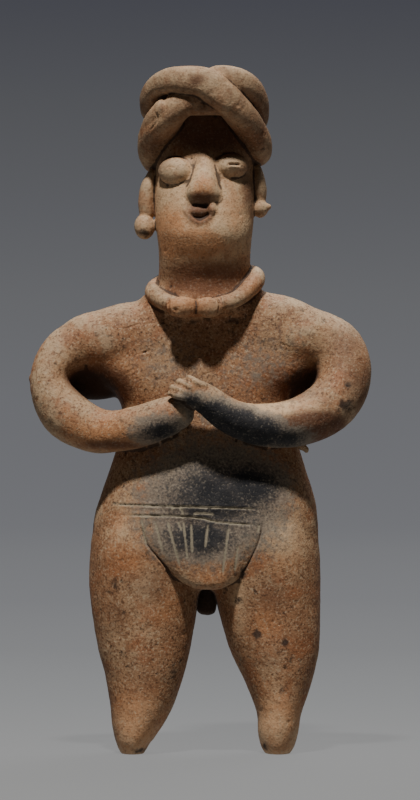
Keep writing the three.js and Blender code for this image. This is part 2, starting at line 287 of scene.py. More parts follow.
def torso():
    """The trunk, from the crotch to the foot of the neck, broad at the hips and the chest."""
    return pull_roll(
        "torso",
        [
            (BODY_X, 0.5, 64, 62, 27),
            (BODY_X - 0.6, 0, 73, 82, 36),
            (BODY_X - 0.2, -0.7, 81, 82.6, 38.6),
            (BODY_X, -0.9, 87, 81.4, 39),
            (BODY_X + 0.4, -0.9, 92.8, 78.8, 39),
            (BODY_X + 0.7, -0.5, 104, 71.5, 36),
            (BODY_X + 0.6, 0.5, 115, 65, 31.5),
            (BODY_X, 1, 125, 61.5, 30),
            (BODY_X - 0.6, 1, 132, 67, 30),
            (BODY_X - 1, 1, 138.5, 83, 29),
            (BODY_X - 1, 1, 143.5, 95, 27.5),
            (BODY_X - 0.6, 1, 152, 90, 25.5),
            (BODY_X, 0.5, 163, 56, 25),
            (BODY_X, 0, 171, 38, 25),
        ],
        sides=64,
        ends=0.3,
        power=2.6,
        upright=True,
    )


def leg(name, levels):
    """A leg from the sole up: the level, its middle, its width and its depth."""
    stations = [(x, y, z, wide, deep) for z, x, y, wide, deep in levels]
    return pull_roll(name, stations, sides=40, ends=0.4, upright=True)


def legs():
    """Two bulging legs that taper to blunt feet."""
    left = leg(
        "left_leg",
        [
            (-2, -24.4, SOLE_Y - 1, 6, 14),
            (2.2, -24.3, SOLE_Y - 2, 11.2, 21),
            (9, -22.9, SOLE_Y - 2.2, 17.8, 24.4),
            (18, -21, SOLE_Y - 1.7, 23.6, 27),
            (29, -20.1, -3.4, 29, 29.6),
            (38, -20.3, -2.4, 33.8, 32.6),
            (52, -20.2, -1, 38.8, 36.5),
            (66, -20, -0.5, 41, 39),
            (80, -19.6, -0.7, 38.8, 39),
            (96, -17, -0.8, 30, 31),
        ],
    )
    right = leg(
        "right_leg",
        [
            (-2, 28.6, SOLE_Y - 1, 6.4, 14),
            (2.2, 28.6, SOLE_Y - 2, 12, 21),
            (8, 28.8, SOLE_Y - 2.2, 14.8, 24),
            (15, 29.2, SOLE_Y - 1.9, 16.6, 25.6),
            (26, 28.9, -3.5, 24.6, 28.6),
            (38, 27.4, -2.4, 32.8, 32.6),
            (52, 25.5, -1, 37.6, 36.5),
            (66, 24, -0.5, 40.6, 39),
            (80, 22.8, -0.7, 40.4, 39),
            (96, 20, -0.8, 30, 31),
        ],
    )
    return [left, right]


def shoulders():
    """The roll across the top of the chest, and the clay that fills the armpits."""
    yoke = pull_roll(
        "yoke",
        [
            (-45, -1.2, 148.6, 16, 16),
            (-32, 0, 150.9, 25.6, 22),
            (-14, 0.3, 150.8, 31.5, 24.5),
            (BODY_X, 0.3, 151, 36, 26),
            (19, 0.3, 152.6, 34, 24.5),
            (33, 0, 154, 25.4, 22),
            (47, -1.4, 150, 16, 17),
        ],
        ends=0.5,
        power=2.3,
    )
    fillings = [
        press_pellet("left_breast", (-35, -1.6, 150.5), (36, 22, 23)),
        press_pellet("right_breast", (37, -1.6, 151.5), (36, 22, 23)),
        press_pellet("left_web", (-38.6, 3, 141), (36, 15, 24)),
        press_pellet("right_web", (39, 3, 139.5), (34, 16, 32)),
    ]
    return [yoke, *fillings]


def arms():
    """Two bent arms. The right one ends in the hand, which lies over the left wrist."""
    left = pull_roll(
        "left_arm",
        [
            (-32, 0, 151, 21, 19.5),
            (-47.9, -2, 147.2, 18.4, 19),
            (-54.9, -6, 136.5, 14.1, 18),
            (-49.6, -9.6, 124.8, 18.2, 18),
            (-39, -11.6, 118.4, 17, 16.5),
            (-30.5, -14, 117.8, 15.2, 15.5),
            (-22, -17, 119.3, 15.4, 15),
            (-12.4, -19.6, 122.8, 14.4, 13.6),
            (-7, -21, 125, 12.6, 11.6),
        ],
        ends=0.85,
    )
    right = pull_roll(
        "right_arm",
        [
            (33, 0, 154.2, 22, 20),
            (48.8, -2, 149, 20.6, 20.5),
            (53, -6, 139.3, 19.6, 20),
            (48.8, -11, 128.3, 19.4, 19),
            (36.5, -15.5, 121.3, 18, 17.5),
            (22.8, -19.5, 119.9, 15.6, 15.5),
            (11.5, -22.8, 123, 12.8, 13),
            (3, -25, 129, 11.2, 10.2),
            (-2.6, -25, 132, 10, 8.8),
            (-6.6, -23.8, 132.6, 8.4, 7),
        ],
        ends=0.6,
    )
    return [left, right]


# Each finger from the knuckle to the tip: how far to the side and how high
FINGERS = [
    ((1.6, 133.9), (-3.7, 136.9)),
    ((-0.8, 132.4), (-7.2, 135.6)),
    ((-2.4, 130.9), (-9.6, 133.4)),
    ((-4, 129.6), (-10.4, 131.2)),
]


def fingers():
    """The four fingers that lie over the wrist."""
    rolls = []
    for number, ((near_x, near_z), (tip_x, tip_z)) in enumerate(FINGERS):
        stations = [
            (near_x, -28, near_z, 2.6, 2.6),
            ((near_x + tip_x) / 2, -28, (near_z + tip_z) / 2, 2.9, 3),
            (tip_x, -25.6, tip_z, 2.7, 2.8),
        ]
        rolls.append(pull_roll(f"finger_{number}", stations, sides=16))
    return rolls


def neck_and_head():
    """The neck and the head, which are one column of clay."""
    stations = [(HEAD_X, y, z, wide, deep) for z, y, wide, deep in HEAD_LEVELS]
    return pull_roll(
        "head", stations, sides=64, ends=0.35, power=2.1, upright=True
    )


def on_face(x, z):
    """The front of the face at a place, and the turn of what sits there."""
    levels = np.array(HEAD_LEVELS, float)
    middle, wide, deep = (np.interp(z, levels[:, 0], levels[:, k]) for k in (1, 2, 3))
    share = (x - HEAD_X) / (wide / 2)
    depth = math.sqrt(1 - share * share)
    return middle - deep / 2 * depth, math.atan2(share / wide, depth / deep)


# Where the rolls of the body are smoothed together: the middle and the reach each way
BODY_JOINS = [
    ((-36, 0, 150), (26, 24, 22)),
    ((38, 0, 150), (26, 24, 22)),
    ((0, 0, 150), (44, 24, 22)),
    ((BODY_X, 0, 166), (26, 20, 9)),
    ((BODY_X - 24, -14, 82), (20, 16, 20)),
    ((BODY_X + 24, -14, 82), (20, 16, 20)),
    ((BODY_X, 0, 64), (12, 24, 16)),
    ((-34, -12, 122), (9, 10, 12)),
    ((36, -12, 124), (12, 10, 12)),
]

# The hollow of the mouth: its middle, its reach each way, how deep it is and how steep its wall
MOUTH_X = 0.4
MOUTH_Z = 197.2
MOUTH_REACH = (5, 8, 4.6)
MOUTH_DEEP = 1.5
MOUTH_STEEP = 2


def body():
    """The rolls of the body, joined and smoothed, with the hollow of the mouth pressed in."""
    rolls = [torso(), *legs(), *shoulders(), *arms(), neck_and_head()]
    whole = join("body", rolls)
    finish_with(whole, "REMESH", mode="VOXEL", voxel_size=BODY_GRAIN)
    soften(whole, BODY_JOINS, rounds=90)
    co = points_of(whole)
    mouth = (MOUTH_X, on_face(MOUTH_X, MOUTH_Z)[0], MOUTH_Z)
    pressed = np.clip(MOUTH_STEEP * nearness(co, mouth, MOUTH_REACH), 0, 1)
    co[:, 1] += MOUTH_DEEP * pressed
    move_points(whole, co)
    return whole


# What is pressed on: turban, face, ears, necklace and apron


def round_head(angle, z, half_width, half_depth):
    """A place round the head: the angle runs from the front, 0, to the viewer's right, 90."""
    turn = math.radians(angle)
    return (
        HEAD_X + half_width * math.sin(turn),
        HEAD_Y - half_depth * math.cos(turn),
        z,
    )


def coil(name, levels, half, power=2.0):
    """A closed coil: angle round the head, level, width, thickness, and how far out."""
    around = [*levels, levels[0], levels[1]]
    stations = [
        (*round_head(angle, z, half[0] + out, half[1] + out), wide, deep)
        for angle, z, wide, deep, out in around
    ]
    return pull_roll(name, stations, facing=from_head, ends=0, power=power)


def turban():
    """Two strands that cross in front, the end tucked under them, the band and the crown inside."""
    upper = coil(
        "upper_strand",
        [
            (2, 243.2, 11.4, 9, 1.5),
            (20, 238, 11, 9, 1.4),
            (41, 232.5, 10.6, 11, -1),
            (64, 227.5, 10.2, 10.4, -1.8),
            (92, 220.8, 11, 10, -0.9),
            (135, 220, 9, 7, -0.5),
            (180, 226, 9, 7, -0.5),
            (225, 233, 9, 7, -0.5),
            (266, 237, 10.6, 7, -0.2),
            (298, 242.2, 8.4, 7.5, -0.3),
            (322, 244.6, 9, 8, 0.3),
            (343, 244.6, 10.2, 8.5, 1),
        ],
        TURBAN_HALF,
        power=2.4,
    )
    under = coil(
        "under_strand",
        [
            (-12, 238.2, 9.4, 7, -1.2),
            (10, 244.6, 10, 7, -1),
            (33, 244.7, 9.6, 7.5, 0),
            (58, 241.2, 9.6, 7.5, 0),
            (84, 234.5, 9.5, 7, -0.4),
            (125, 229, 9, 7, -0.5),
            (180, 221, 8.5, 6.5, -1),
            (228, 216, 9, 7, -0.5),
            (266, 220, 12, 10, -1.1),
            (292, 225.8, 10.2, 11.4, -1.5),
            (312, 230.4, 9.8, 11.4, -2),
            (329, 235.2, 10.4, 9.4, -1.5),
        ],
        TURBAN_HALF,
        power=2.2,
    )
    fold = pull_roll(
        "fold",
        [
            (*round_head(angle, z, 21.5, 20.6), 7.4, 6.8)
            for angle, z in ((-80, 224.6), (-60, 230.4), (-44, 234.6))
        ],
        facing=from_head,
    )
    band = pull_roll(
        "headband",
        [
            (*round_head(angle, 235.6, 17.4, 16.8), 7, 8)
            for angle in (-48, -16, 16, 48)
        ],
        facing=from_head,
        power=2.6,
    )
    crown = press_pellet("crown", (HEAD_X, HEAD_Y, 240.5), (38.4, 38.4, 17.2))
    return [upper, under, fold, band, crown]


# The pinched ring of the mouth, open under the nose: each place along it to the side and up
LIPS = [
    (-5.6, 201),
    (-5.2, 198),
    (-3.4, 195),
    (0, 193),
    (3.4, 194.6),
    (5.3, 197.2),
    (5.2, 199.8),
]


def face():
    """The face, pressed on as pellets and rolls: eyes, nose, lips and tongue."""
    eyes = []
    for name, x, z, size in (
        ("left_eye", -9.1, 212.2, (13.2, 7.4, 9.9)),
        ("right_eye", 12, 214.1, (12.2, 7.2, 8.7)),
    ):
        y, turn = on_face(x, z)
        eyes.append(press_pellet(name, (x, y, z), size, turn))
    nose = pull_roll(
        "nose",
        [
            (HEAD_X + side, on_face(HEAD_X, z)[0] - out, z, wide, deep)
            for z, side, out, wide, deep in (
                (219, 0.1, -1.8, 4.2, 3.4),
                (214.5, 0.1, -0.9, 5.8, 5),
                (210.5, 0, 0, 7.8, 6.8),
                (207, -0.2, 0.4, 10.2, 8),
                (204.2, -0.4, 0, 12.8, 7.6),
                (201.8, -0.5, -1.2, 12, 5.6),
            )
        ],
        ends=0.5,
    )
    lips = pull_roll(
        "lips",
        [(x, on_face(x, z)[0] + 0.4, z, 1.6, 1.9) for x, z in LIPS],
        sides=16,
    )
    lobe = press_pellet("lip_lobe", (4.5, on_face(4.5, 197)[0], 198), (3, 2.8, 4.6))
    tongue = press_pellet("tongue", (-0.4, on_face(0, 197)[0] + 1.5, 197.4), (8.4, 3.4, 3.6))
    return [*eyes, nose, lips, lobe, tongue]


def ears():
    """A strip for each ear, and a pellet at its foot for the ear ornament."""
    left = pull_roll(
        "left_ear",
        [
            (-17.8, HEAD_Y, 210.4, 4.2, 7),
            (-18.9, HEAD_Y, 207, 5.6, 9),
            (-19.4, HEAD_Y, 202, 6, 9),
            (-19.3, HEAD_Y, 198.4, 5.8, 8),
        ],
    )
    right = pull_roll(
        "right_ear",
        [
            (21, HEAD_Y, 212.6, 4.2, 7),
            (21.5, HEAD_Y, 210, 4.8, 9),
            (21.9, HEAD_Y, 206.5, 5.4, 9),
            (21.9, HEAD_Y, 203.4, 5.2, 8),
        ],
    )
    left_drop = press_pellet("left_drop", (-20.1, HEAD_Y - 1.5, 192.4), (7.6, 8, 9.4))
    right_drop = pull_roll(
        "right_drop",
        [
            (20, HEAD_Y - 1.5, 199, 5.2, 5.2),
            (21.8, HEAD_Y - 1.5, 199.2, 7.2, 7.4),
            (23.8, HEAD_Y - 1.5, 199.5, 5.6, 6),
            (25, HEAD_Y - 1.5, 199.7, 2.4, 2.8),
        ],
    )
    return [left, right, left_drop, right_drop]


def necklace():
    """A coil round the neck, with two beads in front."""
    ring = coil(
        "necklace",
        [
            (0, 162.3, 6.4, 6, 0),
            (35, 165.3, 5.8, 5.8, 0),
            (65, 170.5, 7, 6.4, 0),
            (90, 174, 7.4, 6.6, 0),
            (135, 176, 6.2, 6, 0),
            (180, 176, 6, 6, 0),
            (225, 173.5, 6, 6, 0),
            (270, 169, 6.8, 6.2, 0),
            (300, 165.8, 6.6, 6.2, 0),
            (328, 163.2, 6.4, 6, 0),
        ],
        NECKLACE_HALF,
    )
    beads = []
    for name, x, z, wide in (("left_bead", -6.1, 162.6, 10.2), ("right_bead", 3.1, 162.5, 8.8)):
        stations = [
            (x - wide * 0.3, -19.4, z, 6.6, 6),
            (x, -20, z, 7.8, 7),
            (x + wide * 0.3, -19.4, z, 6.6, 6),
        ]
        beads.append(pull_roll(name, stations, ends=0.9))
    return [ring, *beads]


def loincloth():
    """The apron in front, thin at the sides and thicker below, and its other end behind the legs."""
    apron = pull_roll(
        "apron",
        [
            (0.5, -18.8, 92, 40, 1.6),
            (0.5, -19.4, 86, 43.4, 1.8),
            (0.6, -19.7, 81.5, 42.8, 2.4),
            (1, -19.6, 77, 39.4, 3.6),
            (1.4, -19.2, 74.2, 36.2, 4.6),
            (2.3, -18.5, 69.4, 30, 6),
            (2.8, -17.8, 65.1, 23.8, 7.2),
            (3, -17.4, 62.5, 17.8, 7.4),
            (3.1, -17.2, 60.9, 11, 6),
        ],
        ends=0.25,
        power=2.2,
        upright=True,
    )
    flap = pull_roll(
        "flap",
        [(3, 11, 66, 8.4, 8), (2.8, 10, 57, 8, 6), (2.4, 9.6, 51.5, 7, 5)],
        ends=0.8,
    )
    return [apron, flap]


def crumb():
    """A crumb of clay that stuck in the corner under the right elbow."""
    return [
        press_pellet("crumb", (37.4, -9, 112), (4, 4.6, 2.8), tilt=0.5),
        press_pellet("crumb_end", (39, -9.4, 110.8), (2, 2.2, 2.6)),
    ]


# Lines, dents and pits in the surface, made with a stick, a finger or a lost grain of grit

# Lines drawn on the front, each as places along it: how far to the side and how high
BELT_LINES = [
    [(-34, 91.2), (-14.4, 90.6), (11.1, 89.9), (23.4, 89.4)],
    [(-28, 87.2), (-10.8, 87), (0.2, 86.3), (4.6, 85.2), (11.1, 84.4), (21.8, 83.6)],
]
APRON_FOLDS = [
    [(-21, 86.2), (-19.2, 76)],
    [(-16.3, 85.5), (-13, 73.5)],
    [(-11.9, 86.3), (-6.8, 68)],
    [(-7.8, 85.2), (-6.4, 81.5)],
    [(-6, 86.3), (-4.2, 70.5)],
    [(-3, 85.2), (-2.6, 72.4)],
    [(3.1, 84.6), (2, 74.9)],
    [(10.8, 84.1), (8.2, 65.1)],
    [(14.1, 76.8), (12.6, 66.2)],
    [(21.7, 84), (21, 80.8)],
]
BEAD_CREASES = [
    [(-10.9, 166), (-11.4, 163), (-10.8, 160)],
    [(-1.4, 166), (-1.1, 163), (-1.3, 159.6)],
    [(7, 166.4), (7.5, 163.6), (7.1, 160.6)],
]
APRON_EDGES = [
    [(-21.6, 84), (-18.9, 77), (-14.4, 71.2), (-10.4, 66.6)],
    [(14.4, 65), (17.6, 69.5), (20, 74.6), (22, 80), (22.8, 84)],
]
BELT_SCRATCHES = [
    [(-10.8, 89.2), (-8, 90.3), (-6.2, 88.6), (-6, 85.5)],
    [(-2.7, 87.7), (1.5, 88), (5.7, 87.4)],
]
SCRATCHES = [
    [(-16.4, 233.6), (-15, 230.6), (-18.1, 226.6)],
    [(-48.8, 126), (-48.4, 124.2), (-49.2, 122.6)],
    [(-12.2, 213.2), (-10.4, 213.6), (-8.6, 213.2)],
]
EYE_SLITS = [[(10.2, 214.3), (12.4, 214.5), (14.8, 214.3)]]

# Dents, or with a negative depth bumps: the middle, the reach each way and the depth
DENTS = [
    ((22.6, -10, 3.2), (2, 4, 1.6), 0.8),
    ((-18.4, -8, 3.6), (1.6, 5, 2), 0.6),
    ((-17.8, -24, 226.6), (1.1, 4, 1.1), 0.9),
    ((-8.6, -22, 161.6), (1.3, 4, 1), 0.5),
    ((18.8, -12, 175), (0.9, 4, 0.9), 0.4),
    ((-10.6, -26, 130.4), (0.8, 4, 0.7), 0.6),
    ((-61.6, -6, 136.8), (1.4, 2.6, 1.6), -0.5),
    ((6.4, -20, 172.6), (1.8, 5, 1.4), -0.7),
]

# How a dent falls off towards its reach
DENT_FALL = 1.5

# A drawn line: the step at which places along it are compared with the mesh, and the share of its
# length over which the stick is set down or lifted
LINE_STEP = 0.25
LINE_END = 0.12

# As shares of the line's width: how wide its groove is, how far out the burr beside it lies, and how
# wide that is. The burr's height is a share of the groove's depth.
GROOVE_WIDE = 0.35
BURR_OUT = 0.75
BURR_WIDE = 0.3
BURR_HIGH = 0.35

# How much a surface has to face the front to take a line there
FACES_FRONT = -0.15

# Strokes of the burnishing pebble. Pits, with their least and greatest radius, and their depth as a
# share of it.
STROKE_COUNT = 36
PIT_COUNT = 520
PIT_SIZES = (0.35, 0.95)
PIT_DEEP = 0.32


def along_line(co, normals, points, reach):
    """The points of the front near a line: which they are, their gap to it and their share along it."""
    line = smooth_line(points, LINE_STEPS)
    gone = np.concatenate([[0], np.cumsum(np.linalg.norm(np.diff(line, axis=0), axis=1))])
    at = np.linspace(0, gone[-1], max(2, int(gone[-1] / LINE_STEP)))
    line = np.stack([np.interp(at, gone, line[:, axis]) for axis in (0, 1)], axis=1)
    low, high = line.min(0) - reach, line.max(0) + reach
    flat = co[:, (0, 2)]
    inside = ((flat > low) & (flat < high)).all(1) & (normals[:, 1] < FACES_FRONT)
    which = np.flatnonzero(inside)
    gaps = np.linalg.norm(flat[which][:, None] - line[None], axis=2)
    nearest = gaps.argmin(1)
    return which, gaps[np.arange(len(which)), nearest], (at / gone[-1])[nearest]


def draw(co, normals, points, wide, deep):
    """How far each point moves out of the surface for a line drawn on the front: into a round
    groove, or onto the burr along each side of it."""
    which, gap, share = along_line(co, normals, points, 2 * wide)
    press = np.clip(np.minimum(share, 1 - share) / LINE_END, 0.25, 1)
    groove = -deep * np.exp(-((gap / (GROOVE_WIDE * wide)) ** 2))
    burr = BURR_HIGH * deep * np.exp(-(((gap - BURR_OUT * wide) / (BURR_WIDE * wide)) ** 2))
    moved = np.zeros(len(co))
    moved[which] = (groove + burr) * press
    return moved


def burnish_strokes():
    """Short strokes left by the burnishing pebble on the chest, at a slant."""
    chance = np.random.default_rng(11)
    strokes = []
    for _ in range(STROKE_COUNT):
        x, z = chance.uniform((-30, 136), (32, 158))
        lean = math.radians(chance.uniform(8, 34)) * (1 if x < 6 else -1)
        long = chance.uniform(3, 7)
        step = np.array((math.cos(lean), math.sin(lean))) * long
        start = np.array((x, z))
        strokes.append([tuple(start), tuple(start + step / 2), tuple(start + step)])
    return strokes


def pits(co, normals):
    """Small pits where grit fell out of the clay, on the front and the back."""
    chance = np.random.default_rng(5)
    moved = np.zeros(len(co))
    for _ in range(PIT_COUNT):
        x, z = chance.uniform((-63, 1), (63, 250))
        side = chance.choice((-1, 1))
        size = chance.uniform(*PIT_SIZES)
        near = np.flatnonzero(
            (np.abs(co[:, 0] - x) < 2 * size)
            & (np.abs(co[:, 2] - z) < 2 * size)
            & (normals[:, 1] * side > 0.3)
        )
        gap = np.hypot(co[near, 0] - x, co[near, 2] - z) / size
        moved[near] -= PIT_DEEP * size * np.exp(-(gap**2) * 2)
    return moved


def mark_surface(piece):
    """Draws the lines, presses the dents and takes out the pits."""
    co = points_of(piece)
    normals = normals_of(piece)
    move = pits(co, normals)
    for wide, deep, lines in (
        (0.95, 0.42, BELT_LINES),
        (1.0, 0.26, APRON_FOLDS),
        (0.9, 0.45, APRON_EDGES),
        (1.5, 0.5, BEAD_CREASES),
        (0.8, 0.22, BELT_SCRATCHES),
        (0.8, 0.22, SCRATCHES),
        (1.1, 0.6, EYE_SLITS),
        (0.75, 0.17, burnish_strokes()),
    ):
        for points in lines:
            move += draw(co, normals, points, wide, deep)
    for middle, reach, deep in DENTS:
        away = np.linalg.norm((co - np.array(middle)) / np.array(reach), axis=1)
        move -= deep * np.exp(-(away**2) * DENT_FALL)
    move_points(piece, co + normals * move[:, None])


def worked_surface(piece):
    """The soft ups and downs of a surface shaped by hand, and the grit in the clay."""
    for name, size, height in (("palm", 14, 0.4), ("finger", 5, 0.2), ("grit", 1.5, 0.12)):
        lumps = bpy.data.textures.new(name, "CLOUDS")
        lumps.noise_scale = size
        lumps.noise_depth = 1
        finish_with(
            piece,
            "DISPLACE",
            texture=lumps,
            texture_coords="LOCAL",
            strength=height,
            mid_level=0.5,
        )


def cut_soles(piece):
    """The soles are cut flat at the level that the figure stands on."""
    pick(piece)
    bpy.ops.object.mode_set(mode="EDIT")
    bpy.ops.mesh.select_all(action="SELECT")
    bpy.ops.mesh.bisect(
        plane_co=(0, 0, 0), plane_no=(0, 0, 1), clear_inner=True, use_fill=True
    )
    bpy.ops.object.mode_set(mode="OBJECT")


# Where the nose runs into the face: the middle and the reach each way
NOSE_JOINS = [
    ((HEAD_X, -20, 211), (13, 8, 13)),
    ((HEAD_X - 0.5, -21, 204), (13, 8, 8)),
]


def figure():
    """The whole figure, joined into one piece of clay, with its surface worked and marked."""
    parts = [
        body(),
        *fingers(),
        *turban(),
        *face(),
        *ears(),
        *necklace(),
        *loincloth(),
        *crumb(),
    ]
    piece = join("standing_figure", parts)
    finish_with(piece, "REMESH", mode="VOXEL", voxel_size=FIGURE_GRAIN)
    finish_with(piece, "SMOOTH", factor=0.5, iterations=4)
    soften(piece, NOSE_JOINS, rounds=60)
    worked_surface(piece)
    mark_surface(piece)
    cut_soles(piece)
    triangles = sum(len(side.vertices) - 2 for side in piece.data.polygons)
    finish_with(piece, "DECIMATE", ratio=min(1, MOST_TRIANGLES / triangles))
    return piece


# What time and the fire did, and where shade is painted: marks on the mesh that the clay's colours
# follow

# Where smoke, dirt or wear changed the clay, and where shade is painted on it: the middle, the reach
# each way and how strongly. Smoke is the blue-grey cloud of the fire. Soot is its black spots, and
# also painted shade behind the apron and in the armpits. Brown is clay that the fire or the ground
# coloured, and also painted shade on the forehead, the neck, under the nose, on the lower sides of
# the forearms and in the armpits. Rust is clay that the fire or the ground coloured, and pale is clay
# that is rubbed clean.
STAINS = {
    "smoke": [
        ((6, -20, 94), (42, 18, 32), 1.1),
        ((18, -20, 98), (26, 16, 17), 1.25),
        ((0, -20, 79), (27, 14, 13), 1.25),
        ((-2, -27, 128.6), (10, 16, 5.4), 1.1),
        ((5, -28, 124), (13, 18, 8), 1.7),
        ((13, -28, 120), (15, 18, 10), 1.9),
        ((21, -27, 117), (15, 18, 10), 1.8),
        ((31, -24, 114.6), (16, 18, 8), 1.1),
        ((-13, -27, 117), (17, 18, 10), 1.15),
        ((24, -18, 142), (30, 14, 22), 0.5),
        ((-12, -18, 144), (26, 14, 18), 0.4),
        ((-20, 12, 120), (24, 14, 30), 0.7),
        ((24, 12, 60), (18, 16, 26), 0.65),
    ],
    "soot_and_painted_shade": [
        # Painted shade on the flap behind the apron, which lies in the apron's shadow.
        ((3, 8, 55), (11, 16, 14), 3.0),
        # Painted shade in the armpit hollows, left and right.
        ((-38, -1, 134), (17, 14, 10), 1.3),
        ((37, -4, 136), (12, 14, 10), 0.9),
        ((21, -18, 44), (3.4, 8, 3.4), 1.0),
        ((14, -18, 56), (3.6, 8, 3), 0.8),
        ((31, -18, 41), (3, 8, 3), 0.8),
        ((16, -18, 66), (3, 8, 4), 0.7),
        ((54, -14, 134.4), (3.2, 9, 2.8), 1.1),
        ((52.5, -17, 127), (6, 9, 5), 0.9),
        ((-37.6, -10, 152.8), (2.2, 8, 2.2), 0.9),
        ((-16, -18, 222), (9, 12, 8), 0.4),
        ((-50, -16, 124), (2.6, 8, 2.6), 0.8),
        ((-24, -16, 46), (4, 9, 5), 0.5),
        ((-9, -16, 30), (4, 9, 6), 0.7),
        ((-30, -16, 62), (7, 9, 5), 0.55),
        ((31, -16, 24), (5, 9, 4), 0.6),
        ((-21, -12, 1.2), (8, 12, 2.4), 0.7),
        ((23.4, -12, 2.5), (2.4, 12, 3.4), 0.8),
        ((-20, -8, 190), (5, 10, 2.6), 0.8),
    ],
    "brown_and_painted_shade": [
        ((HEAD_X, HEAD_Y, 238), (44, 44, 32), 1.2),
        # Painted shade on the forehead under the turban.
        ((HEAD_X, -12, 225), (22, 14, 11), 1.4),
        # Painted shade on the neck under the chin.
        ((2, -12, 173), (26, 16, 12), 1.3),
        ((0, -14, 148), (22, 14, 12), 0.5),
        # Painted shade: a dark line along the lower side of the left forearm.
        ((-34, -23, 112.4), (26, 12, 3.2), 1.3),
        ((58, -13, 136), (13, 16, 24), 0.8),
        # Painted shade on the lower side of the right forearm.
        ((42, -22, 117.6), (20, 16, 10), 2.2),
        ((19, -14, 205), (7, 14, 16), 1.0),
        ((-20, -16, 28), (14, 14, 18), 0.45),
        ((-1, -28, 244), (8, 9, 5), 1.0),
        ((-17, -16, 219), (13, 16, 15), 0.8),
        ((22, -16, 221), (11, 16, 15), 0.6),
        ((-12, -20, 193), (10, 12, 16), 0.5),
        # Painted shade in the armpit hollows: the left one, and two spots in the right one.
        ((-37, -3, 134), (22, 16, 12), 2.2),
        ((40, -3, 136), (16, 14, 13), 1.6),
        ((32, -12, 134), (16, 14, 11), 1.1),
        ((53, -8, 147), (14, 16, 16), 0.9),
        ((-16, -18, 60), (14, 10, 14), 0.7),
        ((-30, -14, 50), (9, 12, 12), 0.6),
        ((20, -18, 84), (8, 10, 9), 0.5),
        ((26, -18, 58), (14, 10, 16), 0.6),
        ((0, -22, 197.4), (8.2, 11, 7.6), 1.4),
        # Painted shade under the nose.
        ((HEAD_X - 0.6, -24, 201.6), (10, 9, 4.4), 1.3),
        ((2, -21, 163), (22, 7, 5), 0.5),
        # Painted shade on the lower side of the right forearm.
        ((40, -24, 120), (16, 10, 12), 0.5),
    ],
    "rust": [
        ((-36, -22, 115), (34, 14, 12), 1.2),
        ((-3, -24, 185), (20, 14, 10), 2.0),
        ((13, -20, 195), (9, 12, 9), 0.8),
        ((0, -18, 172), (26, 18, 13), 1.2),
        ((-13, -18, 189), (15, 16, 15), 1.9),
        ((HEAD_X, -27, 206), (11, 9, 13), 1.7),
        ((0, -24, 196), (10, 10, 8), 1.2),
        ((-9, -26, 211), (9, 8, 7), 0.8),
        ((-12, -18, 56), (12, 12, 18), 0.8),
        ((-24, -16, 72), (18, 14, 13), 0.9),
        ((30, -16, 70), (16, 14, 10), 0.7),
        ((24, -18, 48), (12, 12, 16), 0.8),
        ((58, -8, 140), (8, 14, 18), 0.9),
        ((-28, -14, 140), (18, 14, 14), 0.7),
        ((4, -24, 64), (16, 10, 8), 0.9),
        ((HEAD_X, -16, 234), (36, 24, 20), 0.8),
        ((-22, -14, 12), (20, 20, 26), 0.9),
        ((29, -14, 13), (20, 20, 28), 0.8),
        ((-4, -21, 164), (22, 10, 9), 1.0),
        ((18, -14, 170), (12, 14, 9), 0.9),
    ],
    "pale": [
        ((HEAD_X, -22, 198), (50, 40, 34), 1.5),
        ((HEAD_X - 6, -26, 243), (40, 30, 28), 2.0),
        ((13, -26, 214), (10, 9, 7), 0.9),
        ((34, -20, 82), (18, 14, 22), 0.9),
        ((-30, -20, 84), (12, 14, 16), 0.8),
        ((-19, -20, 58), (8, 12, 22), 0.6),
        ((26, -24, 127), (30, 12, 6), 1.4),
        ((-46, -8, 128), (20, 16, 26), 0.8),
        ((48, -6, 146), (20, 16, 20), 0.7),
        ((-22, -16, 6), (20, 20, 20), 1.0),
        ((29, -16, 7), (20, 20, 20), 1.5),
        ((14, -16, 54), (6, 10, 20), 0.8),
        ((-9, -20, 103), (8, 12, 14), 0.7),
    ],
}


# How far a point has to stand out of its surroundings for a full mark, and over how many rounds of
# neighbours these surroundings and the way that the surface faces are averaged
STANDS_OUT = 0.3
RISE_ROUNDS = 10
FACING_ROUNDS = 6

# How far from a drawn line its chalk is looked for, and how wide the chalk lies
CHALK_REACH = 1.2
CHALK_WIDE = 0.62


def neighbour_mean(values, edges, count):
    """Each point's mean over the points that it shares an edge with."""
    total = np.zeros_like(values)
    for axis in range(values.shape[1]):
        total[:, axis] = np.bincount(edges[:, 0], values[edges[:, 1], axis], len(values))
        total[:, axis] += np.bincount(edges[:, 1], values[edges[:, 0], axis], len(values))
    return total / count[:, None]


